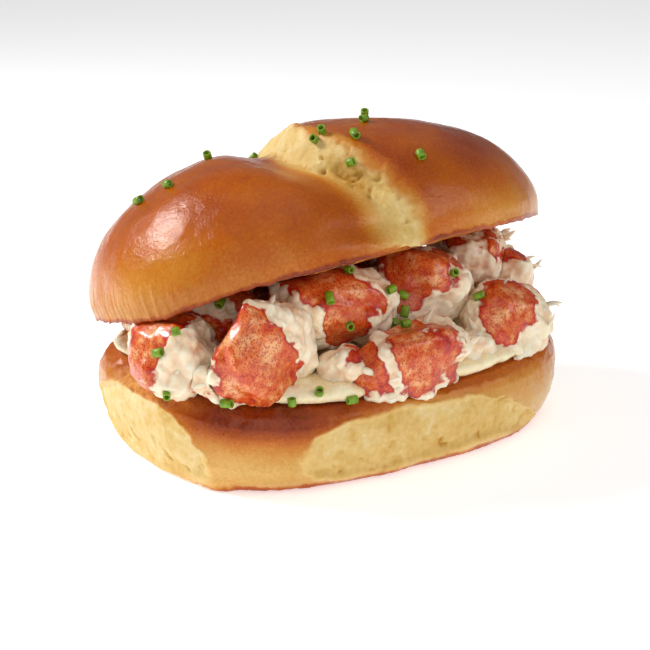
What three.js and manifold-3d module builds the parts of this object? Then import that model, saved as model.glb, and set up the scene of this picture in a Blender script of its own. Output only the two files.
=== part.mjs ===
// A lobster roll: an oval brioche roll split into a base and a lid, a layer of cream dressing on
// the base, and separate pieces of lobster meat that prop the lid open towards the front.
// Millimetres, +X along the roll, -Y to the open front, +Z up. The origin is under the middle of
// the whole roll, on the surface that it stands on.
import * as THREE from "three";
import { mergeVertices } from "three/addons/utils/BufferGeometryUtils.js";
import Module from "manifold-3d";

const wasm = await Module();
wasm.setup();

// Driving dimensions.
const GAP = 0.35; // between touching pieces
const BASE = {
  halfLength: 64, halfWidth: 47.5, height: 25, oval: 2.7,
  frontSag: 3.2, sagStart: 20, sagRun: 24, // the cut face drops over this run of y, behind -y
};
const LID = {
  halfLength: 66, halfWidth: 46.5, height: 38, oval: 2.35, // the oval is fuller than an ellipse
  tilt: 18, // degrees, opening at the front
  roll: 3.6, // degrees, the +X end higher
  backGap: 4.3, // from the base's cut face up to the lid's back edge
  shift: -1.3,
};
const CREAM = { thickness: 2.4, inset: 2.6, wave: 0.9 };

const { sin, cos, abs, sign, min, max, exp, hypot, PI } = Math;
const degrees = PI / 180;
const clamp01 = (t) => min(1, max(0, t));
const smooth = (t) => clamp01(t) ** 2 * (3 - 2 * clamp01(t));
const mix = (a, b, t) => a + (b - a) * t;

// Straight lines between [position, value] stops.
function along(stops, t) {
  const k = stops.findIndex(([at]) => at >= t);
  if (k < 0) return stops[stops.length - 1][1];
  if (k === 0) return stops[0][1];
  const [[t0, v0], [t1, v1]] = [stops[k - 1], stops[k]];
  return mix(v0, v1, (t - t0) / (t1 - t0));
}

// The radius of a unit superellipse in the direction (x, y).
const ovalReach = (x, y, power) => (abs(x) ** power + abs(y) ** power) ** (-1 / power);

// A closed form turned from a profile of [share, height] stops, from the axis underneath to the
// axis on top, where share is how far out towards the oval outline each ring lies. Then
// shape(point) moves the finished points.
function ovalForm(size, columns, profile, shape = (p) => p) {
  const stops = profile.map(([share, height]) => new THREE.Vector2(share, height));
  const geometry = new THREE.LatheGeometry(stops, columns).rotateX(PI / 2);
  return moved(geometry, (p) => {
    const share = hypot(p.x, p.y);
    const reach = share > 1e-6 ? ovalReach(p.x, p.y, size.oval) * share : 0;
    p.x *= reach * size.halfLength;
    p.y *= reach * size.halfWidth;
    return shape(p);
  });
}

// The same geometry with each point moved by a function, and welded into one closed skin.
function moved(geometry, move) {
  const place = geometry.getAttribute("position");
  const p = new THREE.Vector3();
  for (let i = 0; i < place.count; i++) {
    move(p.fromBufferAttribute(place, i));
    place.setXYZ(i, p.x, p.y, p.z);
  }
  return closed(geometry);
}

// One welded skin, with only its points and its triangles that have three corners.
function closed(geometry) {
  geometry.deleteAttribute("normal");
  geometry.deleteAttribute("uv");
  const welded = mergeVertices(geometry, 1e-4);
  const kept = [];
  for (let i = 0; i < welded.index.count; i += 3) {
    const corners = [0, 1, 2].map((k) => welded.index.getX(i + k));
    if (new Set(corners).size === 3) kept.push(...corners);
  }
  return welded.setIndex(kept);
}

function solid(geometry) {
  return new wasm.Manifold(
    new wasm.Mesh({
      numProp: 3,
      vertProperties: geometry.getAttribute("position").array,
      triVerts: new Uint32Array(geometry.index.array),
    }),
  );
}

function geometryOf(manifold) {
  const made = manifold.getMesh();
  const points = new Float32Array(made.numVert * 3);
  for (let i = 0; i < made.numVert; i++) {
    points.set(made.vertProperties.subarray(i * made.numProp, i * made.numProp + 3), i * 3);
  }
  return new THREE.BufferGeometry()
    .setAttribute("position", new THREE.BufferAttribute(points, 3))
    .setIndex(new THREE.BufferAttribute(made.triVerts, 1));
}

// The cut face of the base, and the cream on it, sag towards the open front.
const frontSag = (y) => BASE.frontSag * smooth((-y - BASE.sagStart) / BASE.sagRun);

// The lower half of the roll: a flat spot, full sides that lean out and in again, a rounded
// shoulder and a cut face. The margin grows it outwards all round.
function baseForm(margin = 0) {
  const profile = [
    [0, 0], [0.89, 0], [0.925, 1], [0.955, 3.5], [0.98, 8], [0.995, 13], [1, 17.5], [0.992, 20.5],
    [0.968, 23.1], [0.925, 24.6], [0.86, 25], [0, 25],
  ];
  const size = { halfLength: BASE.halfLength + margin, halfWidth: BASE.halfWidth + margin, oval: BASE.oval };
  return ovalForm(size, 40, profile, (p) => {
    const up = p.z / BASE.height;
    p.z += up * (margin - frontSag(p.y));
    return p;
  });
}

// The torn groove across the lid: at each y, the x of its floor, its depth, and the width of the
// torn wall that climbs from the floor to the right lobe.
const GROOVE = [
  { y: -47, floor: -6.5, depth: 4, wall: 12 },
  { y: -37, floor: -12.5, depth: 5.8, wall: 10.5 },
  { y: -27, floor: -16.5, depth: 7.2, wall: 9.5 },
  { y: -17, floor: -16.5, depth: 7.4, wall: 8 },
  { y: -4, floor: -11, depth: 6, wall: 8 },
  { y: 8, floor: -6.5, depth: 4.8, wall: 9 },
  { y: 25, floor: -6, depth: 4, wall: 9 },
  { y: 47, floor: -9, depth: 3, wall: 9 },
];
const grooveAt = (name, y) => along(GROOVE.map((stop) => [stop.y, stop[name]]), y);

// How far the groove moves the crust up or down at (x, y): the left lobe rolls down into the
// floor, and the torn wall climbs from it to the right lobe, which stands a little proud.
function grooveLift(x, y) {
  const [leftRoll, rightRoll, lip, slant] = [9.5, 22, 1.2, 0.85];
  const across = (x - grooveAt("floor", y)) * slant;
  const depth = grooveAt("depth", y);
  const wall = grooveAt("wall", y);
  if (across < 0) return -depth * exp(-((across / leftRoll) ** 2));
  if (across < wall) return mix(-depth, lip, smooth(across / wall));
  return lip * exp(-(((across - wall) / rightRoll) ** 2));
}

// The upper half, in its own frame: the cut face at z 0, the dome above, and the groove.
function lidForm() {
  const rows = 28;
  const fullness = 2.26; // the power of the dome's section, fuller than an ellipse
  const profile = [[0, 0]];
  for (let k = 0; k <= rows; k++) {
    const angle = ((k / rows) * PI) / 2;
    const rise = abs(sin(angle)) ** (2 / fullness);
    const share = k === rows ? 0 : cos(angle) ** (2 / fullness) * mix(0.985, 1, smooth(rise / 0.15));
    profile.push([share, LID.height * rise]);
  }
  return ovalForm(LID, 56, profile, (p) => {
    const lift = grooveLift(p.x, p.y) * smooth(p.z / 12); // the groove fades out towards the rim
    const steep = hypot(p.x / LID.halfLength, p.y / LID.halfWidth) ** 3;
    p.z += lift * (1 - 0.5 * steep);
    p.x *= 1 + (0.35 * steep * lift) / LID.halfWidth;
    p.y *= 1 + (0.8 * steep * lift) / LID.halfWidth;
    return p;
  });
}

// The lid's place: rolled along the roll's length, tilted open at the front, its back edge just
// above the base.
function lidPlace() {
  const tilt = LID.tilt * degrees;
  const turned = new THREE.Matrix4()
    .makeRotationX(-tilt)
    .multiply(new THREE.Matrix4().makeRotationY(-LID.roll * degrees));
  return new THREE.Matrix4()
    .makeTranslation(
      LID.shift,
      LID.halfWidth * (1 - cos(tilt)),
      BASE.height + LID.backGap + LID.halfWidth * sin(tilt),
    )
    .multiply(turned);
}

// The dressing: a soft-edged sheet with a wavy outline that covers nearly all of the cut face.
// The margin grows it all round.
function creamForm(margin = 0) {
  const floor = BASE.height + GAP - margin;
  const top = BASE.height + GAP + CREAM.thickness + margin;
  const profile = [
    [0, floor], [0.93, floor], [0.96, mix(floor, top, 0.2)], [0.968, mix(floor, top, 0.55)],
    [0.955, mix(floor, top, 0.85)], [0.92, top], [0.45, top], [0, top],
  ];
  const size = {
    halfLength: BASE.halfLength - CREAM.inset + margin,
    halfWidth: BASE.halfWidth - CREAM.inset + margin,
    oval: BASE.oval,
  };
  return ovalForm(size, 48, profile, (p) => {
    const turn = Math.atan2(p.y, p.x);
    const out = hypot(p.x, p.y);
    const wave = CREAM.wave * (sin(5 * turn + 0.6) + 0.7 * sin(9 * turn + 2) + 0.4 * sin(14 * turn));
    const stretch = out > 1e-6 ? 1 + (wave * clamp01(out / 30)) / out : 1;
    p.x *= stretch;
    p.y *= stretch;
    p.z -= frontSag(p.y);
    return p;
  });
}

// Each piece of meat: where its middle is, its half sizes, its turn about X, Y and Z in degrees,
// how square its section is, and how much it narrows towards its own +X end.
const MEAT = {
  claw_tip_left: { at: [-58, -15.5, 33], half: [11, 12.5, 11], turn: [0, 10, 20], square: 2.2, taper: 0.1 },
  claw_slab_front: { at: [-41.5, -31.5, 34.5], half: [17, 8, 14], turn: [12, 14, 24], square: 2.7, taper: -0.1 },
  tail_slab_front: { at: [-2.5, -40, 28], half: [18.5, 8, 10], turn: [10, -6, 6], square: 3.2, taper: -0.05 },
  claw_right: { at: [35, -31, 28.5], half: [13, 11, 12.5], turn: [8, 10, -10], square: 2.6, taper: 0.05 },
  claw_middle: { at: [-15, -23, 41], half: [19.5, 12, 10.5], turn: [14, 8, -8], square: 2.5, taper: 0.3 },
  knuckle_left: { at: [-39.5, -7, 38], half: [13, 10, 9.5], turn: [10, -10, 15], square: 2.4, taper: 0.15 },
  knuckle_right: { at: [17.5, -19, 39.5], half: [15.5, 12, 12], turn: [10, 12, 0], square: 2.5, taper: 0.1 },
  tail_back_right: { at: [43.5, -5, 42], half: [11.5, 11.5, 8.5], turn: [0, -12, 20], square: 2.4, taper: 0.1 },
  flake_right_end: { at: [55, -8, 34.5], half: [8.5, 12, 8.5], turn: [0, 10, -10], square: 2.3, taper: 0.2 },
  flake_front: { at: [-20, -36.5, 29], half: [8, 6.5, 5], turn: [0, 8, 10], square: 2.2, taper: 0.2 },
  flake_front_right: { at: [21, -37, 27.5], half: [8, 6, 4.5], turn: [0, -6, 20], square: 2.2, taper: -0.1 },
  flake_front_left: { at: [-52, -29, 29.5], half: [9, 6.5, 5], turn: [0, 6, -30], square: 2.2, taper: 0.1 },
  piece_middle_left: { at: [-24, 8, 34], half: [14, 11, 7.5], turn: [-12, 4, 25], square: 2.4, taper: 0.2 },
  piece_middle_right: { at: [10, 6, 35], half: [15, 11, 8], turn: [-14, 4, -12], square: 2.5, taper: -0.15 },
  piece_back_right: { at: [36, 20, 34], half: [14, 10, 6.5], turn: [-16, -4, 30], square: 2.4, taper: 0.15 },
  piece_back_left: { at: [-42, 19, 31], half: [12.5, 11, 5], turn: [-16, 4, -20], square: 2.3, taper: 0.1 },
  piece_back: { at: [-8, 28, 31], half: [16, 9, 4.5], turn: [-16, 3, 6], square: 2.4, taper: 0.15 },
};

// A lump of meat in its place: a rounded block that narrows to one end, with shallow dents. The
// margin grows it all round.
function meatForm({ at, half, turn, square, taper }, seed, margin = 0) {
  const [a, b, c] = half.map((size) => size + margin);
  const turned = new THREE.Euler(...turn.map((angle) => angle * degrees), "ZYX");
  return moved(new THREE.SphereGeometry(1, 12, 9).rotateX(PI / 2), (p) => {
    p.normalize();
    const block = (abs(p.x) ** square + abs(p.y) ** square + abs(p.z) ** square) ** (-1 / square);
    const dents =
      0.07 * sin(3.1 * p.x + 2.3 * p.y + seed) +
      0.06 * sin(4.3 * p.y - 3.7 * p.z + 2 * seed) +
      0.05 * sin(5.9 * p.z + 3.3 * p.x + 3 * seed);
    const narrow = 1 - taper * p.x;
    p.multiplyScalar(block * (0.95 + dents));
    p.set(p.x * a, p.y * b * narrow, p.z * c * narrow);
    p.applyEuler(turned).add(new THREE.Vector3(...at));
  });
}

const largest = (manifold) =>
  manifold.decompose().reduce((a, b) => (b.volume() > a.volume() ? b : a));

// The space under the lid's cut face and clear of the base and the cream.
function fillingSpace() {
  const below = closed(new THREE.BoxGeometry(400, 400, 200).translate(0, 0, -100 - GAP));
  below.applyMatrix4(lidPlace());
  return solid(below).subtract(solid(baseForm(GAP))).subtract(solid(creamForm(GAP)));
}

const mesh = (name, geometry, color, roughness) => {
  geometry.computeVertexNormals();
  const made = new THREE.Mesh(geometry, new THREE.MeshStandardMaterial({ color, roughness, metalness: 0 }));
  made.name = name;
  return made;
};

const roll = new THREE.Group();
roll.add(mesh("bun_base", baseForm(), 0xc58a3e, 0.55));
const lid = mesh("bun_lid", lidForm(), 0xa85a1c, 0.35);
lidPlace().decompose(lid.position, lid.quaternion, lid.scale);
roll.add(lid);
roll.add(mesh("cream", creamForm(), 0xf3e3b8, 0.3));

// The pieces are laid in order, and each gives way to those before it.
let space = fillingSpace();
Object.entries(MEAT).forEach(([name, spec], k) => {
  const seed = 1.7 * k;
  const piece = largest(solid(meatForm(spec, seed)).intersect(space));
  roll.add(mesh("lobster_" + name, geometryOf(piece), 0xc9603a, 0.4));
  space = space.subtract(solid(meatForm(spec, seed, 1.3 * GAP)));
});

// The pieces are laid out about the middle of the base. The lid's near end reaches further out,
// so the whole is slid along to stand centred on the origin.
roll.updateMatrixWorld(true);
const middle = new THREE.Box3().setFromObject(roll, true).getCenter(new THREE.Vector3());
roll.position.set(-middle.x, -middle.y, 0);

export default roll;
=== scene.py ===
"""A lobster roll: a brioche roll torn and glazed, cream dressing, lobster meat and chive rings.

Metres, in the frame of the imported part: +X along the roll, -Y to the open front, +Z up.
"""

from math import cos, pi, radians, sin

import bmesh
import bpy
import numpy as np
from mathutils import Matrix, Quaternion, Vector
from mathutils.bvhtree import BVHTree


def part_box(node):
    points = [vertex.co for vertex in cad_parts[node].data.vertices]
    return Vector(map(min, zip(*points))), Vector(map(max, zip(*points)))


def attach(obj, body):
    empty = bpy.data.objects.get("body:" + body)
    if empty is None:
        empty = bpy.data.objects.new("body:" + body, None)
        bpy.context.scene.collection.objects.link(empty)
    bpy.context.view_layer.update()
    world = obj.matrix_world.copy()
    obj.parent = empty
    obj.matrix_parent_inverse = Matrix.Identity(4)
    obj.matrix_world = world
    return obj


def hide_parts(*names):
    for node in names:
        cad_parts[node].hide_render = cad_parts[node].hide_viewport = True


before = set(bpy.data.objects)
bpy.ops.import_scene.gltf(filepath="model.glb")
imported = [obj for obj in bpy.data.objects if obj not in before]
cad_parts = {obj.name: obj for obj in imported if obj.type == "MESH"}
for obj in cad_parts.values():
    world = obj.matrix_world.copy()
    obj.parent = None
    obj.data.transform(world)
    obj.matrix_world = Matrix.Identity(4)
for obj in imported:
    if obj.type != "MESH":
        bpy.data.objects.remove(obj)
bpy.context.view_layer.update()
MM = 0.001


# ---------------------------------------------------------------- small tools

def ease(t):
    """0 below 0, 1 above 1, and a smooth climb between."""
    t = np.clip(t, 0, 1)
    return t * t * (3 - 2 * t)


def hump(t):
    """1 at 0, falling smoothly to nothing on both sides."""
    return np.exp(-t * t)


def along(stops, t, blur=0.0):
    """Reads a list of (position, value) stops at t, rounded off over a run of blur."""
    places, values = zip(*stops)
    shifts = [0.0] if blur == 0 else [blur * k / 3 for k in range(-3, 4)]
    return sum(np.interp(t + shift, places, values) for shift in shifts) / len(shifts)


def scramble(cells, seed):
    """A steady random whole number for each row of three whole numbers."""
    mixed = (cells @ np.array((374761393, 668265263, 1274126177)) + seed * 2654435761).astype(np.uint32)
    mixed ^= mixed >> np.uint32(15)
    mixed *= np.uint32(2246822519)
    mixed ^= mixed >> np.uint32(13)
    mixed *= np.uint32(3266489917)
    return mixed ^ (mixed >> np.uint32(16))


def three_of(mixed):
    """Three numbers from 0 to 1 out of each random whole number."""
    return np.stack([((mixed >> np.uint32(10 * k)) & np.uint32(1023)) / 1023 for k in range(3)], 1)


CORNERS = [np.array((i, j, k)) for i in (0, 1) for j in (0, 1) for k in (0, 1)]


def smooth_noise(rows, seed):
    """Smooth noise, about -1 to 1, with one lump to a unit."""
    cells = np.floor(rows).astype(np.int64)
    part = rows - cells
    fade = part * part * part * (part * (part * 6 - 15) + 10)
    total = np.zeros(len(rows))
    for corner in CORNERS:
        slope = three_of(scramble(cells + corner, seed)) * 2 - 1
        weight = np.where(corner, fade, 1 - fade).prod(1)
        total += weight * ((part - corner) * slope).sum(1)
    return total * 1.7


def octaves_of(points, size, seed, octaves, stretch):
    """Smooth noise at several sizes, each half the one before."""
    rows = points / (size * np.array(stretch))
    return [smooth_noise(rows * 2 ** k + 3.7 * k, seed * 16 + k) for k in range(octaves)]


def grain(points, size, seed=0, octaves=3, stretch=(1, 1, 1)):
    """Cloudy noise, about -1 to 1, whose largest lumps are size metres across."""
    return sum(layer * 0.5 ** k for k, layer in enumerate(octaves_of(points, size, seed, octaves, stretch)))


def folds(points, size, seed=0, octaves=3, stretch=(1, 1, 1)):
    """Creased noise, 0 to 1, with sharp ridges between round hollows."""
    layers = octaves_of(points, size, seed, octaves, stretch)
    layers = [(1 - np.minimum(np.abs(layer), 1)) ** 2 for layer in layers]
    weights = [0.5 ** k for k in range(octaves)]
    return sum(layer * weight for layer, weight in zip(layers, weights)) / sum(weights)


def puffs(points, size, seed=0):
    """Round heaps like curds, 1 at the top of each and 0 in the clefts between."""
    rows = points / size
    cells = np.floor(rows).astype(np.int64)
    nearest = np.full(len(rows), 9.0)
    for step in np.ndindex(3, 3, 3):
        cell = cells + np.array(step) - 1
        spot = cell + three_of(scramble(cell, seed))
        nearest = np.minimum(nearest, ((rows - spot) ** 2).sum(1))
    return 1 - np.clip(nearest / 0.7, 0, 1)


def points_of(mesh):
    flat = np.empty(len(mesh.vertices) * 3)
    mesh.vertices.foreach_get("co", flat)
    return flat.reshape(-1, 3)


def normals_of(mesh):
    flat = np.empty(len(mesh.vertices) * 3)
    mesh.vertex_normals.foreach_get("vector", flat)
    return flat.reshape(-1, 3)


def move_points(mesh, points):
    mesh.vertices.foreach_set("co", points.ravel())
    mesh.update()


def push_out(mesh, amount):
    """Moves each point along its normal by its amount."""
    move_points(mesh, points_of(mesh) + normals_of(mesh) * amount[:, None])


def soften(mesh, times):
    """Rounds off sharp creases."""
    bm = bmesh.new()
    bm.from_mesh(mesh)
    every_way = {"use_axis_x": True, "use_axis_y": True, "use_axis_z": True}
    for _ in range(times):
        bmesh.ops.smooth_vert(bm, verts=bm.verts, factor=0.5, **every_way)
    bm.to_mesh(mesh)
    bm.free()


def paint(mesh, name, values):
    """Stores one number for each point, for the material to read."""
    layer = mesh.attributes.new(name, "FLOAT", "POINT")
    layer.data.foreach_set("value", np.asarray(values, np.float32))


def mesh_from(bm, name):
    mesh = bpy.data.meshes.new(name)
    bm.to_mesh(mesh)
    bm.free()
    return mesh


def add_to(joined, bm):
    """Adds a finished shape to the ones already joined."""
    single = mesh_from(bm, "single")
    joined.from_mesh(single)
    bpy.data.meshes.remove(single)


def piece(name, mesh, material, slot, *nodes):
    """A finished mesh as an object that rides with the roll and stands for its CAD nodes."""
    mesh.name = name
    mesh.materials.clear()
    mesh.materials.append(material)
    mesh.shade_smooth()
    made = bpy.data.objects.new(name, mesh)
    bpy.context.scene.collection.objects.link(made)
    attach(made, "root")
    if nodes:
        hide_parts(*nodes)
    return made


def middle_of(node):
    low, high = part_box(node)
    return (low + high) / 2


# ---------------------------------------------------------------- shader maths

def colour(red, green, blue):
    """A colour given as on a paint chart, 0 to 255, as the shader's own numbers."""
    return tuple((c / 255) ** 2.2 for c in (red, green, blue)) + (1.0,)


class Value:
    """One output of a shader node, so that shader maths reads as arithmetic."""

    def __init__(self, recipe, socket):
        self.recipe = recipe
        self.socket = socket

    def maths(self, operation, *values):
        return self.recipe.node("ShaderNodeMath", {"operation": operation}, dict(enumerate(values)))

    def __add__(self, other):
        return self.maths("ADD", self, other)

    def __radd__(self, other):
        return self.maths("ADD", other, self)

    def __sub__(self, other):
        return self.maths("SUBTRACT", self, other)

    def __rsub__(self, other):
        return self.maths("SUBTRACT", other, self)

    def __mul__(self, other):
        return self.maths("MULTIPLY", self, other)

    def __rmul__(self, other):
        return self.maths("MULTIPLY", other, self)

    def larger(self, other):
        return self.maths("MAXIMUM", self, other)

    def step(self, low, high):
        """0 below low, 1 above high, smooth between."""
        settings = {"interpolation_type": "SMOOTHSTEP"}
        return self.recipe.node("ShaderNodeMapRange", settings, {0: self, 1: low, 2: high})


class Recipe:
    """One material and the nodes that make it."""

    def __init__(self, name):
        self.material = bpy.data.materials.new(name)
        self.material.use_nodes = True
        self.tree = self.material.node_tree
        self.tree.nodes.clear()
        self.place = self.node("ShaderNodeTexCoord", output="Object")

    def node(self, kind, settings=None, sockets=None, output=0):
        made = self.tree.nodes.new(kind)
        for name, setting in (settings or {}).items():
            if name == "stops":
                self.set_ramp(made.color_ramp, setting)
            else:
                setattr(made, name, setting)
        for name, given in (sockets or {}).items():
            if isinstance(given, Value):
                self.tree.links.new(given.socket, made.inputs[name])
            else:
                made.inputs[name].default_value = given
        return None if output is None else Value(self, made.outputs[output])

    @staticmethod
    def set_ramp(ramp, stops):
        while len(ramp.elements) < len(stops):
            ramp.elements.new(0.5)
        for element, (position, shade) in zip(ramp.elements, stops):
            element.position = position
            element.color = shade

    def painted(self, name):
        """The number that a piece stores under this name at each point."""
        return self.node("ShaderNodeAttribute", {"attribute_name": name}, output="Fac")

    def cloud(self, size, detail=3.0, rough=0.55, distort=0.0):
        """Cloudy noise, 0 to 1, with lumps of this size in metres."""
        sockets = {"Vector": self.place, "Scale": 1 / size, "Detail": detail}
        sockets.update({"Roughness": rough, "Distortion": distort})
        return self.node("ShaderNodeTexNoise", {}, sockets)

    def cells(self, size):
        """The distance to the nearest of scattered points, for pores and spots."""
        return self.node("ShaderNodeTexVoronoi", {}, {"Vector": self.place, "Scale": 1 / size})

    def ramp(self, value, stops):
        return self.node("ShaderNodeValToRGB", {"stops": stops}, {0: value})

    def mix(self, factor, first, second):
        """The first colour where the factor is 0, the second where it is 1."""
        return self.node("ShaderNodeMix", {"data_type": "RGBA"}, {0: factor, 6: first, 7: second}, output=2)

    def bump(self, height, distance, strength):
        sockets = {"Height": height, "Distance": distance, "Strength": strength}
        return self.node("ShaderNodeBump", {}, sockets)

    def finish(self, **sockets):
        """Ends the recipe with a Principled surface whose sockets are given by name."""
        named = {name.replace("_", " "): given for name, given in sockets.items()}
        surface = self.node("ShaderNodeBsdfPrincipled", {}, named)
        self.node("ShaderNodeOutputMaterial", {}, {"Surface": surface}, output=None)
        return self.material


# ---------------------------------------------------------------- bread

# The crust by how brown it is, from barely coloured to the darkest glaze.
CRUST_STOPS = [
    (0.0, colour(232, 196, 120)),
    (0.2, colour(216, 166, 88)),
    (0.4, colour(204, 132, 46)),
    (0.6, colour(186, 93, 6)),
    (0.8, colour(156, 63, 1)),
    (1.0, colour(110, 33, 1)),
]
# Torn crumb and toasted cut faces, from their hollows to their tops; the darker end is painted shade in the
# hollows.
CRUMB_STOPS = [
    (0.0, colour(190, 136, 48)),
    (0.3, colour(214, 172, 92)),
    (0.6, colour(226, 194, 124)),
    (1.0, colour(240, 220, 174)),
]
TOAST_STOPS = [
    (0.0, colour(110, 44, 6)),
    (0.4, colour(170, 84, 16)),
    (0.7, colour(206, 132, 50)),
    (1.0, colour(236, 190, 110)),
]


def bread_recipe():
    """Glazed crust, torn crumb and toasted cut faces, shared out by what the bread stores at each
    point: browning, crumb, toast, and depth, how low it lies in a torn face. Torn crumb and toasted
    faces are painted darker the lower they lie, as painted shade in their hollows."""
    recipe = Recipe("baked_bread")
    browning = recipe.painted("browning")
    crumb = recipe.painted("crumb")
    toast = recipe.painted("toast")
    depth = recipe.painted("depth")

    blotches = recipe.cloud(11 * MM, detail=4)
    freckles = recipe.cloud(0.8 * MM, detail=3, rough=0.7)
    strands = recipe.cloud(2.6 * MM, detail=5, rough=0.6, distort=0.6)
    airy = recipe.cells(1.3 * MM)

    crust = recipe.ramp(browning + (blotches - 0.5) * 0.2 + (freckles - 0.5) * 0.36, CRUST_STOPS)
    swirls = recipe.cloud(5 * MM, detail=4, distort=1.2)
    # Painted shade: the torn crumb is darker the deeper it lies.
    lift = 0.7 - depth * 0.55 + (swirls - 0.5) * 0.8 + (strands - 0.5) * 0.3 + (0.35 - airy) * 0.15
    torn = recipe.ramp(lift, CRUMB_STOPS)
    # Painted shade: the toasted faces are darker the deeper they lie.
    scorch = 0.62 - depth * 0.55 + (strands - 0.5) * 0.9 + (freckles - 0.5) * 0.5
    scorched = recipe.ramp(scorch, TOAST_STOPS)

    crumb_edge = (crumb + (freckles - 0.5) * 0.25 + (strands - 0.5) * 0.25).step(0.1, 0.9)
    toast_edge = (toast + (freckles - 0.5) * 0.3).step(0.3, 0.7)
    shade = recipe.mix(toast_edge, recipe.mix(crumb_edge, crust, torn), scorched)

    bare = crumb_edge.larger(toast_edge)
    relief = freckles * (0.36 + 0.04 * bare) + strands * (0.22 + 0.58 * bare) - airy * bare * 0.35
    gloss = 0.18 + 0.5 * bare + (freckles - 0.5) * 0.2 + (blotches - 0.5) * 0.08
    return recipe.finish(
        Base_Color=shade,
        Roughness=gloss,
        Specular_IOR_Level=0.42,
        Specular_Tint=(1.0, 0.92, 0.84, 1.0),
        Subsurface_Weight=0.22,
        Subsurface_Radius=(1.0, 0.65, 0.3),
        Subsurface_Scale=2.0 * MM,
        Normal=recipe.bump(relief, 0.55 * MM, 0.8),
    )


class Oval:
    """A rounded oblong outline: half its length and width, and how much fuller than an ellipse."""

    def __init__(self, half_length, half_width, fullness):
        self.half = np.array((half_length, half_width))
        self.fullness = fullness

    def rim(self, turn):
        """The outline's points at these angles from the middle."""
        across = np.stack((np.cos(turn), np.sin(turn)), 1)
        reach = (np.abs(across) ** self.fullness).sum(1) ** (-1 / self.fullness)
        return across * reach[:, None] * self.half


FRONT_TURN = radians(-124)  # the side that is looked at most has the most points
CROWDING = 0.35


class Form:
    """A closed oval form turned from a profile, which gives each ring's share of the outline and
    its height for v from 0, on the axis at the top, to 1, on the axis underneath. For each point
    it holds the turn, the share, the height in metres, the same in millimetres as up, and v."""

    def __init__(self, columns, rows, outline, profile):
        bm = bmesh.new()
        bmesh.ops.create_uvsphere(bm, u_segments=columns, v_segments=rows, radius=1)
        self.mesh = mesh_from(bm, "form")
        ball = points_of(self.mesh)
        self.v = np.arccos(np.clip(ball[:, 2], -1, 1)) / pi
        turn = np.arctan2(ball[:, 1], ball[:, 0])
        self.turn = turn - CROWDING * np.sin(turn - FRONT_TURN)
        self.share, self.height = profile(self.v)
        self.up = self.height / MM
        move_points(self.mesh, np.column_stack((outline.rim(self.turn) * self.share[:, None], self.height)))
        self.points = points_of(self.mesh)

    def creases(self, length, size, flow, seed):
        """Fine noise all round the crust. Length is the outline's radius in millimetres, and a
        flow under 1 draws the creases out upwards."""
        ring = np.column_stack((self.turn * length, self.up * flow, self.share)) * MM
        return grain(ring, size, seed)


def torn_face(points, size, seed):
    """Torn crumb: soft swells with scattered round holes. Returns how far each point lies under
    the highest, 0 to about 1."""
    swells = 0.5 - 0.5 * grain(points, size * 1.6, seed)
    holes = ease((grain(points, size * 0.75, seed + 1, octaves=2) - 0.34) / 0.35)
    fine = 0.5 - 0.5 * grain(points, size * 0.3, seed + 2, octaves=2)
    return np.clip(0.4 * swells + 0.5 * holes + 0.1 * fine, 0, 1.1)


# ---------------------------------------------------------------- lid

LID_OVAL = Oval(66 * MM, 46.5 * MM, 2.35)
LID_HEIGHT = 38 * MM
LID_DOME = 2.26  # the dome's section is a little fuller than an ellipse
LID_TILT = radians(18)
LID_ROLL = radians(3.6)
LID_SHIFT = -1.3 * MM
LID_BACK_GAP = 4.3 * MM
RIM_V = 0.75  # where the dome ends and the cut face begins
RIM_SHARE = 0.985  # the rim is drawn in a little from the dome's fullest ring


def lid_place():
    """From the lid's own frame, cut face at height 0, to its place over the base."""
    low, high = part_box("bun_base")
    middle = (low + high) / 2
    half_width = LID_OVAL.half[1]
    hinge = Vector((
        middle.x + LID_SHIFT,
        middle.y + half_width * (1 - cos(LID_TILT)),
        high.z + LID_BACK_GAP + half_width * sin(LID_TILT),
    ))
    turns = Matrix.Rotation(-LID_TILT, 4, "X") @ Matrix.Rotation(-LID_ROLL, 4, "Y")
    return Matrix.Translation(hinge) @ turns


# The torn groove at each y, in millimetres: where its floor is, how deep, and how wide the torn
# wall that climbs from it to the right lobe.
GROOVE_FLOOR = [
    (-47, -6.5), (-37, -12.5), (-27, -16.5), (-17, -16.5), (-4, -11), (8, -6.5), (25, -6), (47, -9),
]
GROOVE_DEPTH = [(-47, 4), (-37, 5.8), (-27, 7.2), (-17, 7.4), (-4, 6), (8, 4.8), (25, 4), (47, 3)]
GROOVE_WALL = [(-47, 12), (-37, 10.5), (-27, 9.5), (-17, 8), (-4, 8), (8, 9), (25, 9), (47, 9)]
GROOVE_BLUR = 5  # the run over which these are rounded off
RIGHT_SWELL = 1.2  # how far the right lobe stands up beside the groove
# How far up the torn wall the crumb shows, at each y, as a share of the wall.
CRUMB_END = [(-47, 0.42), (-38, 0.46), (-28, 0.6), (-14, 0.74), (10, 0.84)]


def groove(points):
    """How far the groove lifts each point, and how far across the torn wall it lies: 0 at the
    floor, 1 at the right lobe's crust."""
    x, y = points[:, 0] / MM, points[:, 1] / MM
    across = (x - along(GROOVE_FLOOR, y, GROOVE_BLUR)) * 0.85
    depth = along(GROOVE_DEPTH, y, GROOVE_BLUR)
    wall = along(GROOVE_WALL, y, GROOVE_BLUR)
    left = -depth * hump(across / 9.5)
    climb = -depth + (depth + RIGHT_SWELL) * ease(across / wall)
    right = RIGHT_SWELL * hump((across - wall) / 22)
    lift = np.where(across < 0, left, np.where(across < wall, climb, right))
    return lift * MM, across / wall


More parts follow.
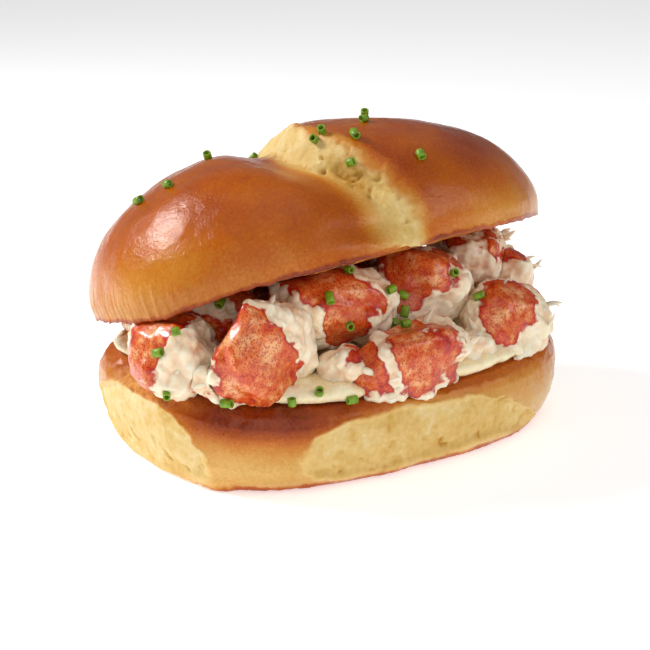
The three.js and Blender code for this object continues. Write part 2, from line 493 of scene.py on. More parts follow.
def lid_profile(v):
    """The dome above the rim, and the flat cut face below it."""
    angle = np.minimum(v / RIM_V, 1) * pi / 2
    rise = np.abs(np.cos(angle)) ** (2 / LID_DOME)
    drawn_in = RIM_SHARE + (1 - RIM_SHARE) * ease(rise / 0.15)
    dome = np.abs(np.sin(angle)) ** (2 / LID_DOME) * drawn_in
    face = RIM_SHARE * (1 - v) / (1 - RIM_V)
    under = v > RIM_V + 1e-4
    return np.where(under, face, dome), np.where(under | (v > RIM_V - 1e-4), 0, LID_HEIGHT * rise)


class Lid(Form):
    """The lid while it is shaped, in its own frame. The steps are taken in their order here."""

    def __init__(self):
        super().__init__(480, 192, LID_OVAL, lid_profile)
        self.under = self.v > RIM_V + 1e-4
        self.dome = ~self.under

    def part_lobes(self):
        """The groove parts the dome into two lobes, and fades out towards the rim."""
        points = self.points
        lift, self.across = groove(points)
        lift = lift * ease(self.up / 12) * self.dome
        steep = self.share ** 3
        points[:, 2] += lift * (1 - 0.5 * steep)
        points[:, 0] *= 1 + 0.35 * steep * lift / LID_OVAL.half[1]
        points[:, 1] *= 1 + 0.8 * steep * lift / LID_OVAL.half[1]
        self.x, self.y = points[:, 0] / MM, points[:, 1] / MM

    def shape_rim(self):
        """The cut rim arches up along the front and droops at the left end. Its edge is ragged."""
        points = self.points
        front = ease(-self.y / 46) * (1 - (self.x / 66) ** 2)
        droop = ease((-self.x - 44) / 22) * ease((12 - self.y) / 30)
        near_rim = np.where(self.under, ease((self.share - 0.85) / 0.13), 1 - ease(self.up / 9))
        self.ragged = grain(points, 8 * MM, 3) * 0.5 + grain(points, 2.2 * MM, 4) * 0.4
        points[:, 2] += near_rim * (1.3 * front - 2.3 * droop + 0.8 * self.ragged) * MM
        move_points(self.mesh, points)

    def tear(self):
        """Where the crumb shows: on the groove's wall, up to the right lobe's crust, fading into
        the left lobe's, and closing over the back. Then how deep its pits are."""
        points, across = self.points, self.across
        wobble = 0.12 * grain(points, 7 * MM, 11) + 0.05 * grain(points, 2 * MM, 12)
        self.past_edge = across + wobble - along(CRUMB_END, self.y, GROOVE_BLUR)
        self.open = 1 - ease((self.y - 14) / 20)
        low_rise = 1 - ease((self.up - 3) / 12)
        start = ease((across + wobble + 0.04) / 0.34)
        end = 1 - ease((self.past_edge + 0.08) / (0.4 + 0.15 * low_rise))
        self.crumb = start * end * self.open * self.dome

        torn = torn_face(points, 4.2 * MM, 21)
        strands = folds(points, 2.4 * MM, 22, stretch=(0.7, 1, 3))
        pit = hump((across - 0.24) / 0.18) * hump((self.y + 35) / 4.5) * ease((self.up - 4) / 6)
        pulled_open = hump((across - 0.25) / 0.4) * hump((self.y + 32) / 14)
        depth = torn * (0.45 + 0.75 * pulled_open) * (1 - 0.6 * low_rise)
        depth += 0.5 * low_rise * (1 - strands) + 1.1 * pit
        self.depth = np.clip(depth, 0, 1.6)
        self.under_torn = torn_face(points, 4.5 * MM, 31)

    def roughen(self):
        """The crust is softly uneven and creased near the left rim; torn faces are pitted."""
        points, crumb, dome = self.points, self.crumb, self.dome
        swell = grain(points, 26 * MM, 5) * 0.5 + grain(points, 7 * MM, 6) * 0.12
        creases = self.creases(66, 1.5 * MM, 0.12, 7)
        creased = (1 - ease((self.up - 2) / 8)) * (0.35 + ease((-self.x - 35) / 20))
        amount = swell * dome * (1 - crumb) + 0.22 * creases * creased * dome
        amount -= crumb * (2.3 * self.depth - 0.5)
        amount += 0.35 * hump((self.past_edge - 0.14) / 0.12) * self.open * dome
        amount -= self.under * (0.2 + 1.2 * self.under_torn) * ease((0.97 - self.share) / 0.04)
        push_out(self.mesh, amount * MM)

    def brown(self):
        """Browning: deepest over the top, lighter above the rim and beside the groove, and paler low on
        the front towards the right as a painted sheen.
        """
        x, y, across, rise = self.x, self.y, self.across, self.height / LID_HEIGHT
        # Painted sheen: low on the front the crust is painted paler, where a front light's reflection falls.
        low_front_sheen = (1 - ease((rise - 0.08) / 0.42)) * ease(-y / 20)
        left_end = 0.16 * ease((-x - 34) / 26) * (1 - ease((rise - 0.05) / 0.6)) + 0.04 * ease((-x - 50) / 14)
        fade = 0.24 + 0.2 * (1 - ease((y + 44) / 16))
        browning = 0.6 + 0.08 * ease((rise - 0.04) / 0.4) + 0.07 * grain(self.points, 16 * MM, 8)
        browning += 0.14 * ease((x - 5) / 30) * ease((rise - 0.35) / 0.4)
        browning -= 0.5 * hump(np.minimum(across - 0.1, 0) / fade) * (across < 0.5) * self.open
        # The painted sheen lightens the crust low on the front, towards the right.
        browning -= left_end + 0.2 * ease((x - 8) / 20) * low_front_sheen
        browning -= 0.28 * hump((self.past_edge - 0.2) / 0.22) * self.open
        browning += 0.4 * (1 - ease((self.up - 0.2 - 0.4 * self.ragged) / 1.2)) * self.dome
        return browning


def make_lid(material):
    lid = Lid()
    lid.part_lobes()
    lid.shape_rim()
    lid.tear()
    lid.roughen()
    paint(lid.mesh, "browning", np.clip(lid.brown(), 0, 1))
    paint(lid.mesh, "crumb", lid.crumb)
    paint(lid.mesh, "toast", lid.under * ease((RIM_SHARE - lid.share) / 0.02))
    # Depth darkens the torn and toasted faces' colour as painted shade.
    paint(lid.mesh, "depth", np.where(lid.under, lid.under_torn, lid.depth))
    lid.mesh.transform(lid_place())
    return piece("lid", lid.mesh, material, "bun", "bun_lid")


# ---------------------------------------------------------------- base

BASE_OVAL = Oval(64 * MM, 47.5 * MM, 2.7)
BASE_HEIGHT = 25 * MM
FRONT_SAG = 3.2 * MM
FACE_V = 0.3125  # where the cut face ends and the side begins
UNDER_V = 0.78125  # where the side ends and the flat underside begins
# The base's side from the flat underside to the cut face: share of the outline, and height.
BASE_SIDE = [
    (0.89, 0), (0.925, 1), (0.955, 3.5), (0.98, 8), (0.995, 13), (1, 17.5), (0.992, 20.5),
    (0.968, 23.1), (0.925, 24.6), (0.86, 25),
]
# The torn patches, where this roll was pulled from its neighbours: at each turn, in degrees, the
# lower and upper edge in millimetres. Each patch comes again on the far side.
END_PATCH = [
    (147, 11, 12), (155, 3.5, 16), (168, 2.2, 20), (183, 2, 22.4), (196, 2, 21.3), (204, 2.4, 19.5),
    (210, 3.4, 15), (216, 5.5, 6.5),
]
FRONT_PATCH = [
    (235, 11, 12), (239, 5.5, 17.5), (246, 3.2, 20.6), (260, 3, 21.6), (275, 3.8, 20.8),
    (284, 5, 19), (291, 4.6, 17.2), (296, 3.6, 12.5), (303, 2.6, 8.8), (311, 2.2, 3),
]
# How brown the side is at each height in millimetres: where it is palest, under the glazed front
# band, and at the ends.
GOLDEN = [(3, 0.16), (12, 0.18), (17, 0.22), (20.5, 0.28), (22.5, 0.44), (24, 0.62)]
GLAZED = [(2, 0.24), (6.5, 0.15), (9, 0.2), (12, 0.29), (15, 0.44), (18, 0.68), (20.5, 0.9)]
BAKED = [(2, 0.2), (10, 0.2), (15, 0.38), (20, 0.58), (23, 0.64)]


def front_sag(y):
    """How far the base's cut face drops towards the front."""
    return FRONT_SAG * ease((-y / MM - 20) / 24)


def base_profile(v):
    """The cut face from the axis, the side, and the flat underside back to the axis."""
    shares, heights = (np.array(stops, float) for stops in zip(*BASE_SIDE))
    run = np.hypot(np.diff(shares) * 55, np.diff(heights))
    place = np.concatenate(([0], np.cumsum(run))) / run.sum()
    up = 1 - np.clip((v - FACE_V) / (UNDER_V - FACE_V), 0, 1)
    share, height = np.interp(up, place, shares), np.interp(up, place, heights)
    share = np.where(v < FACE_V, shares[-1] * v / FACE_V, share)
    share = np.where(v > UNDER_V, shares[0] * (1 - v) / (1 - UNDER_V), share)
    return share, height * MM


def patch(stops, degrees_round, up):
    """1 inside a torn patch, softly 0 outside: crisp along its top, fading at its foot."""
    turns, lows, highs = zip(*stops)
    low = np.interp(degrees_round, turns, lows)
    high = np.interp(degrees_round, turns, highs)
    inside = ease((up - low) / 4.2 + 0.6) * ease((high - up) / 2.0 + 0.5)
    ends = ease((degrees_round - turns[0]) / 5) * ease((turns[-1] - degrees_round) / 5)
    return inside * ends


class Base(Form):
    """The base while it is shaped, in its place. The steps are taken in their order here."""

    def __init__(self):
        super().__init__(440, 144, BASE_OVAL, base_profile)
        points, middle = self.points, middle_of("bun_base")
        points[:, 2] -= front_sag(points[:, 1]) * self.height / BASE_HEIGHT
        points[:, 0] += middle.x
        points[:, 1] += middle.y
        self.face = self.v < FACE_V + 0.004
        self.under = self.v > UNDER_V + 0.002
        self.side = ~self.face & ~self.under

    def tear(self):
        """Where the torn patches lie on the side."""
        points = self.points
        self.wavy = grain(points, 9 * MM, 41) * 0.9 + grain(points, 2.5 * MM, 42) * 0.45
        self.around = np.degrees(self.turn) % 360 + self.wavy * 1.4
        turns = [(self.around + half_turn) % 360 for half_turn in (0, 180)]
        up = self.up + self.wavy * 0.7
        patches = [patch(stops, turn, up) for turn in turns for stops in (END_PATCH, FRONT_PATCH)]
        self.crumb = np.max(patches, 0) * self.side

    def shape_rim(self):
        """The rim of the cut face is uneven."""
        points = self.points
        self.rim = hump((self.share - 0.96) / 0.05) * ease(self.up - 20)
        rough_rim = grain(points, 5 * MM, 50) * 0.7 + grain(points, 1.8 * MM, 51) * 0.35
        points[:, 2] += self.rim * rough_rim * 0.7 * MM
        move_points(self.mesh, points)

    def roughen(self):
        """Torn faces are pitted, and the crust is swollen beside them and creased."""
        points, crumb, side, around = self.points, self.crumb, self.side, self.around
        torn = torn_face(points, 4.6 * MM, 43)
        low_down = 1 - ease((self.up - 5) / 9)
        pulled = 1 - folds(points, 3 * MM, 52, stretch=(0.8, 0.8, 3))
        pulled *= 1 + 1.2 * ease((around - 268) / 12)
        self.depth = np.clip(torn * (0.4 + 0.65 * low_down) + 0.25 * pulled, 0, 1.2)
        self.face_torn = torn_face(points, 3.4 * MM, 47)
        self.toasted = self.face * ease((0.94 - self.share) / 0.05)

        swell = grain(points, 18 * MM, 44) * 0.4 + grain(points, 6 * MM, 45) * 0.14
        creases = self.creases(60, 1.5 * MM, 0.15, 46)
        foot = 0.25 * (1 - ease(self.up / 2.5)) * (1 + self.wavy)
        corner = hump((around - 214) / 5) * (1 - ease((self.up - 1) / 4))
        amount = swell * side * (1 - 0.7 * crumb) - crumb * (0.3 + 1.3 * self.depth)
        amount += (0.14 * creases * (1 - crumb) + 2.4 * crumb * (1 - crumb)) * side
        amount -= (0.1 + 0.9 * self.face_torn) * self.toasted
        amount += (1.1 * corner + foot) * side
        push_out(self.mesh, amount * ease(self.up / 0.8) * MM)

        self.points = points_of(self.mesh)
        self.points[:, 2] = np.maximum(self.points[:, 2], 0)
        move_points(self.mesh, self.points)

    def brown(self):
        """Browning: dark under the glaze at the front rim, golden down the side, a dark line where
        the roll stood on its tray."""
        around, wavy, side = self.around, self.wavy, self.side
        front_band = hump((around - 226) / 25) + 0.5 * hump((around - 46) / 40)
        ends = 0.6 * hump((around - 328) / 28) + 0.5 * hump((around - 148) / 28)
        golden, glazed, baked = (along(stops, self.up) for stops in (GOLDEN, GLAZED, BAKED))
        browning = golden + (glazed - golden) * np.clip(front_band * 1.15, 0, 1)
        browning = browning + (baked - golden) * np.clip(ends * 1.4, 0, 1)
        browning -= 0.9 * self.crumb * (1 - self.crumb) * side
        tray_line = 1 - ease((self.up - 1.1 - 0.9 * wavy) / 2.2)
        tray_line *= 0.3 + 0.7 * ease((around % 360 - 205) / 10)
        browning = np.maximum(browning, 0.7 * tray_line * side) + 0.05 * grain(self.points, 10 * MM, 48)
        return np.where(self.under, 0.66 + 0.12 * grain(self.points, 9 * MM, 49), browning)


def make_base(material):
    base = Base()
    base.tear()
    base.shape_rim()
    base.roughen()
    left_rim = 0.9 * base.rim * base.side * hump((base.around - 188) / 26)
    pale = 0.25 * hump((base.around - 178) / 32) + 0.2 * grain(base.points, 12 * MM, 53)
    paint(base.mesh, "browning", np.clip(base.brown(), 0, 1))
    paint(base.mesh, "crumb", base.crumb)
    paint(base.mesh, "toast", np.maximum(base.toasted, left_rim))
    # Depth darkens the torn and toasted faces' colour as painted shade.
    paint(base.mesh, "depth", np.where(base.face, base.face_torn, base.depth - pale))
    return piece("base", base.mesh, material, "bun", "bun_base")


# ---------------------------------------------------------------- soft remeshing of a CAD node

def reworked(node, voxel, smoothing):
    """The node's solid as an even, rounded mesh of small faces, to sculpt on."""
    bm = bmesh.new()
    bm.from_mesh(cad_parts[node].data)
    bmesh.ops.remove_doubles(bm, verts=bm.verts, dist=0.01 * MM)
    rough = bpy.data.objects.new("rough", mesh_from(bm, "rough"))
    bpy.context.scene.collection.objects.link(rough)
    remesh = rough.modifiers.new("even", "REMESH")
    remesh.mode = "VOXEL"
    remesh.voxel_size = voxel
    smooth = rough.modifiers.new("round", "SMOOTH")
    smooth.factor = 0.5
    smooth.iterations = smoothing
    bpy.context.view_layer.update()
    depsgraph = bpy.context.evaluated_depsgraph_get()
    mesh = bpy.data.meshes.new_from_object(rough.evaluated_get(depsgraph))
    bpy.data.objects.remove(rough)
    for layer in list(mesh.attributes):
        if not layer.is_required and not layer.is_internal:
            mesh.attributes.remove(layer)
    return mesh


# ---------------------------------------------------------------- cream

def cream_recipe():
    recipe = Recipe("cream_dressing")
    thick = recipe.cloud(5 * MM, detail=3)
    specks = recipe.cloud(0.8 * MM, detail=2)
    shade = recipe.ramp(thick + (specks - 0.5) * 0.15, [
        (0.3, colour(255, 228, 172)), (0.7, colour(255, 242, 206)),
    ])
    return recipe.finish(
        Base_Color=shade,
        Roughness=0.22 + 0.12 * specks,
        Subsurface_Weight=0.3,
        Subsurface_Radius=(1.0, 0.6, 0.35),
        Subsurface_Scale=2.5 * MM,
        Normal=recipe.bump(thick + specks * 0.15, 0.25 * MM, 0.5),
    )


def make_cream(material):
    """Thick dressing, heaped and rounded, a little over the rim where it runs, thin at the left."""
    mesh = reworked("cream", 0.7 * MM, 8)
    points, normals = points_of(mesh), normals_of(mesh)
    upward = ease(normals[:, 2] / 0.6)
    outward = 1 - np.abs(normals[:, 2])
    front = ease(-normals[:, 1])
    left_end = ease((-points[:, 0] / MM - 42) / 6)
    heaps = puffs(points + 0.6 * MM * grain(points, 4 * MM, 60)[:, None], 12 * MM, 61)
    amount = upward * (0.2 + 2.1 * heaps + 0.5 * grain(points, 5 * MM, 62) - 2 * left_end)
    amount += outward * (0.2 + 1.2 * front + 1.5 * grain(points, 9 * MM, 63) - 3.5 * left_end)
    push_out(mesh, amount * MM)
    return piece("dressing", mesh, material, "cream", "cream")


# ---------------------------------------------------------------- lobster meat

def lobster_recipe():
    """Mottled red skin over pale flesh. Each piece stores two numbers at each point: skin, how far
    it lies inside its skin, 0.5 at the edge and 1 well inside, and raised, how high on the flesh.
    The flesh is painted paler the higher it lies and darker in its clefts, as painted light and shade."""
    recipe = Recipe("lobster_meat")
    skin = recipe.painted("skin")
    blush = recipe.cloud(6 * MM, detail=3, rough=0.6)
    raised = recipe.painted("raised")
    mottle = recipe.cloud(2.2 * MM, detail=5, rough=0.75)
    spots = recipe.cells(0.6 * MM)
    fibres = recipe.cloud(1.6 * MM, detail=4, rough=0.6, distort=0.8)

    tone = 0.16 + skin.step(0.5, 0.68) * 0.52 + (mottle - 0.5) * 1.4 + (blush - 0.5) * 1.5
    red = recipe.ramp(tone, [
        (0.0, colour(158, 22, 18)),
        (0.25, colour(196, 44, 22)),
        (0.5, colour(214, 82, 28)),
        (0.75, colour(224, 118, 56)),
        (1.0, colour(240, 176, 122)),
    ])
    dotted = recipe.mix((spots + (mottle - 0.5) * 1.1).step(0.5, 0.22) * 0.75, red, colour(166, 34, 16))
    # Painted light and shade: the flesh is paler on its heaps and darker in the clefts between.
    flesh = recipe.ramp(fibres * 0.4 + blush * 0.3 + raised * 0.4, [
        (0.25, colour(222, 150, 112)),
        (0.45, colour(243, 206, 166)),
        (0.75, colour(255, 241, 214)),
    ])
    edge = (skin + (mottle - 0.5) * 0.22).step(0.46, 0.54)
    relief = fibres * (1 - 0.7 * edge) + mottle * 0.4
    return recipe.finish(
        Base_Color=recipe.mix(edge, flesh, dotted),
        Roughness=0.34 + 0.1 * (1 - edge) + (fibres - 0.5) * 0.2,
        Specular_IOR_Level=0.45,
        Coat_Weight=0.2 + 0.15 * edge,
        Coat_Roughness=0.15,
        Subsurface_Weight=0.45,
        Subsurface_Radius=(1.0, 0.6, 0.4),
        Subsurface_Scale=2.4 * MM,
        Normal=recipe.bump(relief, 0.15 * MM, 0.5),
    )


# The open front is laid out as it looks from here.
FRONT_VIEW = (-34, 17.5)

# Each piece of meat. Skin on its seen side: ovals as (right, up, half width, half height, turn) in
# millimetres and degrees from the piece's middle, with a minus half width for a bare oval cut out
# of it. Then the way the skin of its far side faces, how far round that reaches (1 only dead
# ahead, -1 all over), and the way its fibres run.
MEAT = {
    "claw_tip_left": (
        [(-6.6, 0.5, 5.2, 11, -18), (-2, 9, 7, 3.2, 10)], (-0.9, 0.3, 0.3), 0.5, (0.3, -0.5, 0.8),
    ),
    "claw_slab_front": (
        [(-1.5, -3.5, 9.8, 10.6, 0), (-2.5, 5.5, 4, 6, 12)], (0.3, 0.9, 0.3), 0.6, (0.5, 0.1, 0.85),
    ),
    "tail_slab_front": (
        [(-1.5, 0, 13.5, 9, 10), (-6, -1, -0.9, 9, 24)], (0.1, 0.9, 0.3), 0.5, (0.9, 0.1, 0.3),
    ),
    "claw_right": (
        [(1, 1, 7.5, 8.5, -10), (-3, 5, 4, 3, 20)], (0.8, 0.5, 0.3), 0.4, (0.5, 0.0, 0.85),
    ),
    "claw_middle": (
        [(-0.2, 4, 13, 5.6, -18), (3.6, -3, 6, 7, 0)], (0.1, 0.7, 0.7), 0.3, (0.95, -0.1, 0.2),
    ),
    "knuckle_left": (
        [(-3, -2.8, 6.5, 4, 10), (7, 6, 6, 2.8, -20)], (0.2, 0.8, 0.5), 0.3, (0.8, 0.2, 0.4),
    ),
    "knuckle_right": (
        [(-1.6, 5.4, 12.5, 5.6, -8), (-4.4, -0.5, 5.5, 6.5, 0)], (0.1, 0.8, 0.5), 0.3, (0.9, 0.1, 0.3),
    ),
    "tail_back_right": (
        [(6.3, 3, 1.6, 6, 20), (-2.9, 3.4, 4, 1.2, -5)], (0.8, 0.5, 0.3), 0.3, (0.7, -0.5, 0.3),
    ),
    "flake_right_end": ([(3, 4.6, 3.2, 1.5, 0)], (0.9, 0.3, 0.2), 0.3, (0.3, -0.8, 0.4)),
    "flake_front": ([(3, 3, 2, 1.2, 30)], (0.1, 0.9, 0.2), 0.9, (0.9, -0.2, 0.1)),
    "flake_front_right": ([(-4, -2, 1.5, 1, 0)], (0.1, 0.9, 0.2), 0.9, (0.8, -0.4, 0.2)),
    "flake_front_left": ([(-1, -3, 2, 1, 0)], (0.1, 0.9, 0.2), 0.9, (0.8, -0.4, 0.3)),
    "piece_middle_left": ([(2, 2, 6, 4, 0)], (0.2, 0.4, 0.9), 0.3, (0.9, 0.3, 0.1)),
    "piece_middle_right": ([(-2, 3, 7, 4, 0)], (-0.2, 0.3, 0.9), 0.35, (0.9, -0.3, 0.1)),
    "piece_back_right": ([(0, 3, 6, 2, 0)], (0.5, 0.8, 0.2), 0.2, (0.8, 0.3, 0.1)),
    "piece_back_left": ([(0, 3, 6, 2, 0)], (-0.4, 0.85, 0.2), 0.25, (0.8, -0.4, 0.1)),
    "piece_back": ([(0, 3, 6, 2, 0)], (0.1, 0.95, 0.2), 0.15, (0.9, 0.1, 0.1)),
}
LONG_POINTED = ("flake_right_end", "claw_right", "tail_back_right")  # the ones at the right end


def spherical(azimuth, elevation, distance=1.0):
    """A place seen from the origin: azimuth 0 is the front, -Y, and 90 is +X."""
    azimuth, elevation = radians(azimuth), radians(elevation)
    flat = cos(elevation) * distance
    return Vector((sin(azimuth) * flat, -cos(azimuth) * flat, sin(elevation) * distance))


def view_axes(azimuth, elevation):
    """Right, up and towards the viewer, for a viewer at this place."""
    toward = spherical(azimuth, elevation)
    right = Vector((cos(radians(azimuth)), sin(radians(azimuth)), 0))
    return np.array(right), np.array(toward.cross(right)), np.array(toward)


OVAL_FULLNESS = 2.4  # the skin's ovals are a little squarer than ellipses


def inside_oval(right, up, oval):
    """How far inside an oval each point lies, in millimetres."""
    middle_right, middle_up, half_width, half_height, turn = oval
    half_width = abs(half_width)
    x, y = right - middle_right, up - middle_up
    c, s = cos(radians(turn)), sin(radians(turn))
    wide = np.abs((x * c + y * s) / half_width) ** OVAL_FULLNESS
    high = np.abs((y * c - x * s) / half_height) ** OVAL_FULLNESS
    return (1 - (wide + high) ** (1 / OVAL_FULLNESS)) * min(half_width, half_height)


def skin_depth(points, normals, ovals, facing, reach, seed):
    """How far inside the skin each point lies: 0.5 at its edge, 1 about 5 mm in."""
    right, up, toward = view_axes(*FRONT_VIEW)
    centre = (points.min(0) + points.max(0)) / 2
    across, above = (points - centre) @ right / MM, (points - centre) @ up / MM
    seen = np.full(len(points), -20.0)
    for oval in ovals:
        inside = inside_oval(across, above, oval)
        seen = np.maximum(seen, inside) if oval[2] > 0 else np.minimum(seen, -inside)
    facing = np.array(facing) / np.linalg.norm(facing)
    own = (points - centre) / (np.ptp(points, 0).mean() / 2)
    far = ((normals @ facing) * 0.6 + (own @ facing) * 0.4 - reach) * 12
    towards_viewer = ease((normals @ toward + 0.25) / 0.3)
    wander = 2.0 * grain(points, 8 * MM, seed) + 1.2 * grain(points, 2.6 * MM, seed + 1)
    depth = seen * towards_viewer + far * (1 - towards_viewer) + wander
    return np.clip(0.5 + depth / 10, 0, 1)


def fibre_frame(fibre):
    """Axes for a piece's fibres: the first along them."""
    return np.array(Vector(fibre).to_track_quat("X", "Z").to_matrix().inverted())


def make_meat(name, seed, material):
    ovals, facing, reach, fibre = MEAT[name]
    mesh = reworked("lobster_" + name, 0.4 * MM, 8)
    points = points_of(mesh)
    skin = skin_depth(points, normals_of(mesh), ovals, facing, reach, seed)
    on_skin = ease((skin - 0.46) / 0.08)

    own = points @ fibre_frame(fibre).T
    strands = folds(own, 4.0 * MM, seed + 2, octaves=2, stretch=(3.5, 1, 1))
    heaps = puffs(own + 0.9 * MM * grain(own, 5 * MM, seed + 5)[:, None], 6.5 * MM, seed + 6)
    curds = puffs(own + 0.5 * MM * grain(own, 2 * MM, seed + 7)[:, None], 2.8 * MM, seed + 8)
    lumps = grain(points, 7 * MM, seed + 3)
    fuzz = grain(own, 1.6 * MM, seed + 4, octaves=2, stretch=(2.5, 1, 1))
    flesh_relief = 0.8 * (strands - 0.5) + 1.6 * (heaps - 0.6) + 0.8 * (curds - 0.6) + 0.9 * lumps
    flesh_relief += 0.1 * fuzz + 0.5 * hump((skin - 0.38) / 0.08)
    skin_relief = 0.3 + 0.35 * lumps + 0.06 * fuzz
    push_out(mesh, (flesh_relief * (1 - on_skin) + skin_relief * on_skin) * MM)
    soften(mesh, 2)
    paint(mesh, "skin", skin)
    # Raised sets the flesh's painted light and shade: paler on heaps, darker in clefts.
    paint(mesh, "raised", 0.4 * heaps + 0.35 * curds + 0.4 * strands)
    return piece("meat_" + name, mesh, material, "lobster", "lobster_" + name)


def shred(root, heading, normal, length, width, taper=0.6):
    """One torn fibre: a closed tapered strand, flat to the surface it stands on, and bent."""
    bm = bmesh.new()
    bmesh.ops.create_uvsphere(bm, u_segments=7, v_segments=9, radius=1)
    side = heading.cross(normal).normalized()
    bow = heading.cross(side).normalized()
    for vert in bm.verts:
        t = (vert.co.z + 1) / 2
        slim = width * (1 - taper * t * t)
        vert.co = (
            root + heading * (length * (t - 0.12)) + side * (vert.co.x * slim)
            + bow * (vert.co.y * slim * 0.45 + length * 0.35 * t * t)
        )
    return bm


def short_shreds(chunk, name, count, rng):
    """Torn fibres standing off a piece's pale flesh, most of them near its skin's edge."""
    mesh = chunk.data
    points, normals = points_of(mesh), normals_of(mesh)
    skin = np.empty(len(points), np.float32)
    mesh.attributes["skin"].data.foreach_get("value", skin)
    fibre = Vector(MEAT[name][3]).normalized()
    likely = (skin < 0.42) * (normals[:, 2] > -0.5) * np.where(skin > 0.25, 3.0, 1.0)
    likely *= 1.4 + normals @ np.array(spherical(*FRONT_VIEW))
    for k in rng.choice(len(points), count, p=likely / likely.sum()):
        normal = Vector(normals[k])
        wild = Vector(rng.normal(size=3)) * 0.45
        heading = (normal * 0.4 + fibre * rng.choice((-0.9, 0.9)) + wild).normalized()
        length, width = rng.uniform(2.4, 5.0) * MM, rng.uniform(0.6, 1.2) * MM
        yield shred(Vector(points[k]), heading, normal, length, width)


def long_points(chunk, rng):
    """A few longer points that stand out at the right end."""
    right, up, _ = view_axes(*FRONT_VIEW)
    points, normals = points_of(chunk.data), normals_of(chunk.data)
    outward = points @ (right + 0.5 * up) + rng.normal(0, 0.9 * MM, len(points))
    for k in np.argsort(outward)[-3:]:
        normal = Vector(normals[k])
        heading = (Vector(right) + Vector(up) * rng.uniform(-0.1, 0.7) + normal * 0.3).normalized()
        length, width = rng.uniform(3.5, 5.5) * MM, rng.uniform(0.8, 1.3) * MM
        yield shred(Vector(points[k]), heading, normal, length, width, taper=0.95)


def make_shreds(chunks, material, count=110):
    """The torn fibres of all the pieces, given by name."""
    rng = np.random.default_rng(7)
    joined = bmesh.new()
    for name, chunk in chunks.items():
        for bm in short_shreds(chunk, name, count // len(chunks), rng):
            add_to(joined, bm)
    for name, chunk in chunks.items():
        if name in LONG_POINTED:
            for bm in long_points(chunk, rng):
                add_to(joined, bm)
    bmesh.ops.recalc_face_normals(joined, faces=joined.faces)
    mesh = mesh_from(joined, "shreds")
    paint(mesh, "skin", np.full(len(mesh.vertices), 0.1))
    # The shreds get the pale, painted-lit colour of raised flesh.
    paint(mesh, "raised", np.full(len(mesh.vertices), 0.75))
    return piece("shreds", mesh, material, "lobster")


# ---------------------------------------------------------------- chives

CHIVE_RADIUS = 1.15 * MM
CHIVE_LENGTH = 2.5 * MM
CHIVE_WALL = 0.42 * MM

# Where rings were dropped, from each view: right and up in millimetres from the middle of the
# roll, and the heading in degrees, or None for one that stands on its end.
FRONT_CHIVES = [
    # on the lid
    (-39.7, 35.2, 30), (-30.9, 44, None), (-19.7, 46.6, 80), (10.9, 60.6, None), (10.3, 54, 20),
    (-0.6, 49.4, None), (-2.2, 47.5, None), (7.5, 48.3, 70), (7, 41.1, 20), (24.2, 43, 80),
    (-47.5, 31.5, 40),
    # on the meat and the dressing
    (-26.9, 5.4, 30), (-36, -2.2, 20), (-40, -6.8, 20), (-38.8, -16.1, None), (-23.6, -18.3, 10),
    (-7.6, -18.5, 90), (-1.5, -17, None), (6.4, -18, 0), (0.8, 6.3, 75), (6, 0.3, None),
    (16.8, 8.8, 20), (20.5, 7.9, 150), (21.3, 3.4, 85), (17.4, 0.5, 10), (20.5, -0.3, 0),
    (33.6, 13.3, None), (41.6, 7.2, 60), (6, 13.3, 0),
]
BACK_VIEW = (146, 30)
BACK_CHIVES = [
    (-30, 20, 30), (-12, 27, 80), (6, 24, None), (22, 26, 20), (38, 18, 120), (-42, 10, 60),
    (14, 13, 10), (-20, 13, None), (30, 8, 70),
]


def chive_recipe():
    recipe = Recipe("chive")
    streaks = recipe.cloud(1.2 * MM, detail=3)
    green = recipe.ramp(streaks, [(0.3, colour(88, 130, 14)), (0.7, colour(138, 172, 38))])
    return recipe.finish(
        Base_Color=green,
        Roughness=0.4,
        Normal=recipe.bump(streaks, 0.1 * MM, 0.3),
    )


def chive_ring(length, squash):
    """One cut ring of a hollow stalk, lying along X."""
    bm = bmesh.new()
    round_tube = {"radius1": CHIVE_RADIUS, "radius2": CHIVE_RADIUS, "depth": length, "segments": 14}
    bmesh.ops.create_cone(bm, cap_ends=False, **round_tube)
    bmesh.ops.solidify(bm, geom=bm.faces[:], thickness=CHIVE_WALL)
    bmesh.ops.recalc_face_normals(bm, faces=bm.faces)
    soft_edge = {"offset": 0.08 * MM, "affect": "EDGES", "segments": 1, "profile": 0.5, "material": -1}
    bmesh.ops.bevel(bm, geom=bm.edges[:], **soft_edge)
    lie_down = Matrix.Rotation(pi / 2, 4, "Y") @ Matrix.Diagonal((squash, 1, 1, 1))
    bmesh.ops.transform(bm, verts=bm.verts, matrix=lie_down)
    return bm


def landing(trees, view, across, above):
    """Where a ring lands, and the way the surface faces there. One that would miss is moved down
    until it lands."""
    right, up, toward = (Vector(axis) for axis in view_axes(*view))
    hits = []
    while not hits:
        start = roll_middle() + (right * across + up * above + toward * 200) * MM
        casts = [tree.ray_cast(start, -toward) for tree in trees]
        hits = [cast for cast in casts if cast[0] is not None]
        above -= 0.4
    spot, normal, _, _ = min(hits, key=lambda hit: hit[3])
    return spot, -normal if normal.dot(toward) < 0 else normal


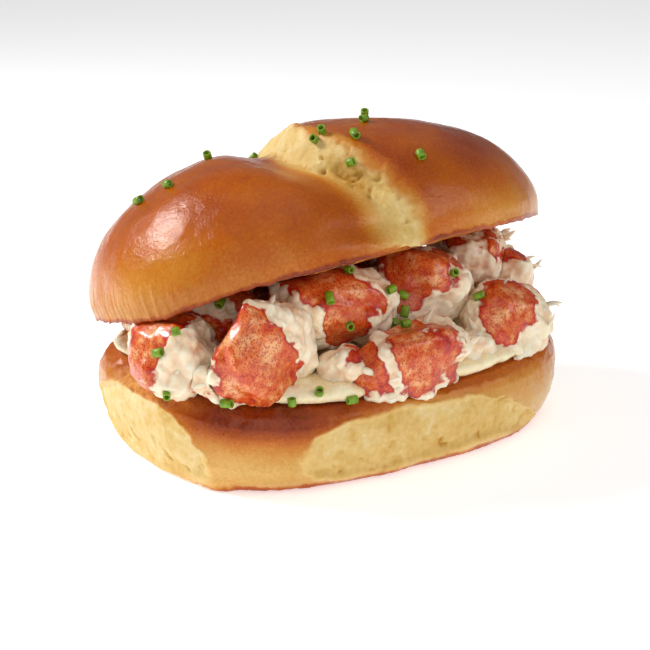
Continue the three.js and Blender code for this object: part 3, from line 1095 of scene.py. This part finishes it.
def make_chives(targets, material):
    """Chive rings, each dropped on to what it first meets."""
    depsgraph = bpy.context.evaluated_depsgraph_get()
    trees = [BVHTree.FromObject(target, depsgraph) for target in targets]
    joined = bmesh.new()
    for view, places in ((FRONT_VIEW, FRONT_CHIVES), (BACK_VIEW, BACK_CHIVES)):
        for k, (across, above, heading) in enumerate(places):
            spot, normal = landing(trees, view, across, above)
            if heading is None:
                leaning = (normal + spherical(*view) * 0.8).normalized()
                turn, rest = leaning.to_track_quat("X", "Y"), CHIVE_LENGTH * 0.35
            else:
                turn = normal.to_track_quat("Z", "Y") @ Quaternion((0, 0, 1), radians(heading))
                rest = CHIVE_RADIUS * 0.75
            bm = chive_ring(CHIVE_LENGTH * (0.8 + 0.13 * (k % 4)), 0.86 + 0.1 * (k % 2))
            place = Matrix.Translation(spot + normal * rest) @ turn.to_matrix().to_4x4()
            bmesh.ops.transform(bm, verts=bm.verts, matrix=place)
            add_to(joined, bm)
    return piece("chives", mesh_from(joined, "chives"), material, "chive")


# ---------------------------------------------------------------- stage

CAMERA_LENS = 85
CAMERA_DISTANCE = 0.4255
# Each light's azimuth, elevation and distance from the roll, its size in metres, and its watts.
LIGHTS = {
    "window_left": (-136, 40, 0.7, (0.21, 0.18), 4.0),
    "front_fill": (-28, 24, 1.4, (1.5, 1.0), 4.3),
    "window_right": (40, 28, 1.3, (0.8, 0.45), 3.2),
    "overhead": (-10, 82, 1.3, (1.1, 1.1), 2.4),
}
ROOM_LIGHT = 0.2
FLOOR_RADIUS = 3
FLOOR_GLOW = 0.52  # keeps the paper white under a soft light


def roll_middle():
    """A point in the middle of the roll, which the camera looks at."""
    middle = middle_of("bun_base")
    return Vector((middle.x - 2.3 * MM, middle.y, 27.4 * MM))


def stand(name, data, azimuth, elevation, distance):
    """Puts a camera or a light round the roll, facing it."""
    made = bpy.data.objects.new(name, data)
    made.location = roll_middle() + spherical(azimuth, elevation, distance)
    made.rotation_euler = (roll_middle() - made.location).to_track_quat("-Z", "Y").to_euler()
    bpy.context.scene.collection.objects.link(made)
    return made


def make_camera():
    lens = bpy.data.cameras.new("camera")
    lens.lens = CAMERA_LENS
    lens.clip_start = 0.01
    bpy.context.scene.camera = stand("camera", lens, *FRONT_VIEW, CAMERA_DISTANCE)


def make_lights():
    for name, (azimuth, elevation, distance, size, watts) in LIGHTS.items():
        lamp = bpy.data.lights.new(name, "AREA")
        lamp.shape = "RECTANGLE"
        lamp.size, lamp.size_y = size
        lamp.energy = watts
        stand(name, lamp, azimuth, elevation, distance)


def make_room():
    scene = bpy.context.scene
    world = bpy.data.worlds.new("studio")
    world.use_nodes = True
    world.node_tree.nodes["Background"].inputs["Color"].default_value = (1, 1, 1, 1)
    world.node_tree.nodes["Background"].inputs["Strength"].default_value = ROOM_LIGHT
    scene.world = world
    scene.view_settings.view_transform = "Standard"

    bm = bmesh.new()
    bmesh.ops.create_circle(bm, cap_ends=True, segments=64, radius=FLOOR_RADIUS)
    floor = bpy.data.objects.new("floor", mesh_from(bm, "floor"))
    floor.data.materials.append(Recipe("pale_paper").finish(
        Base_Color=(0.9, 0.9, 0.9, 1),
        Roughness=0.8,
        Emission_Color=(1, 1, 1, 1),
        Emission_Strength=FLOOR_GLOW,
    ))
    scene.collection.objects.link(floor)


# ---------------------------------------------------------------- the roll

bread = bread_recipe()
lobster = lobster_recipe()
lid = make_lid(bread)
base = make_base(bread)
cream = make_cream(cream_recipe())
meat = {name: make_meat(name, 100 + 10 * k, lobster) for k, name in enumerate(MEAT)}
make_shreds(meat, lobster)
make_chives([lid, base, cream, *meat.values()], chive_recipe())
make_camera()
make_lights()
make_room()
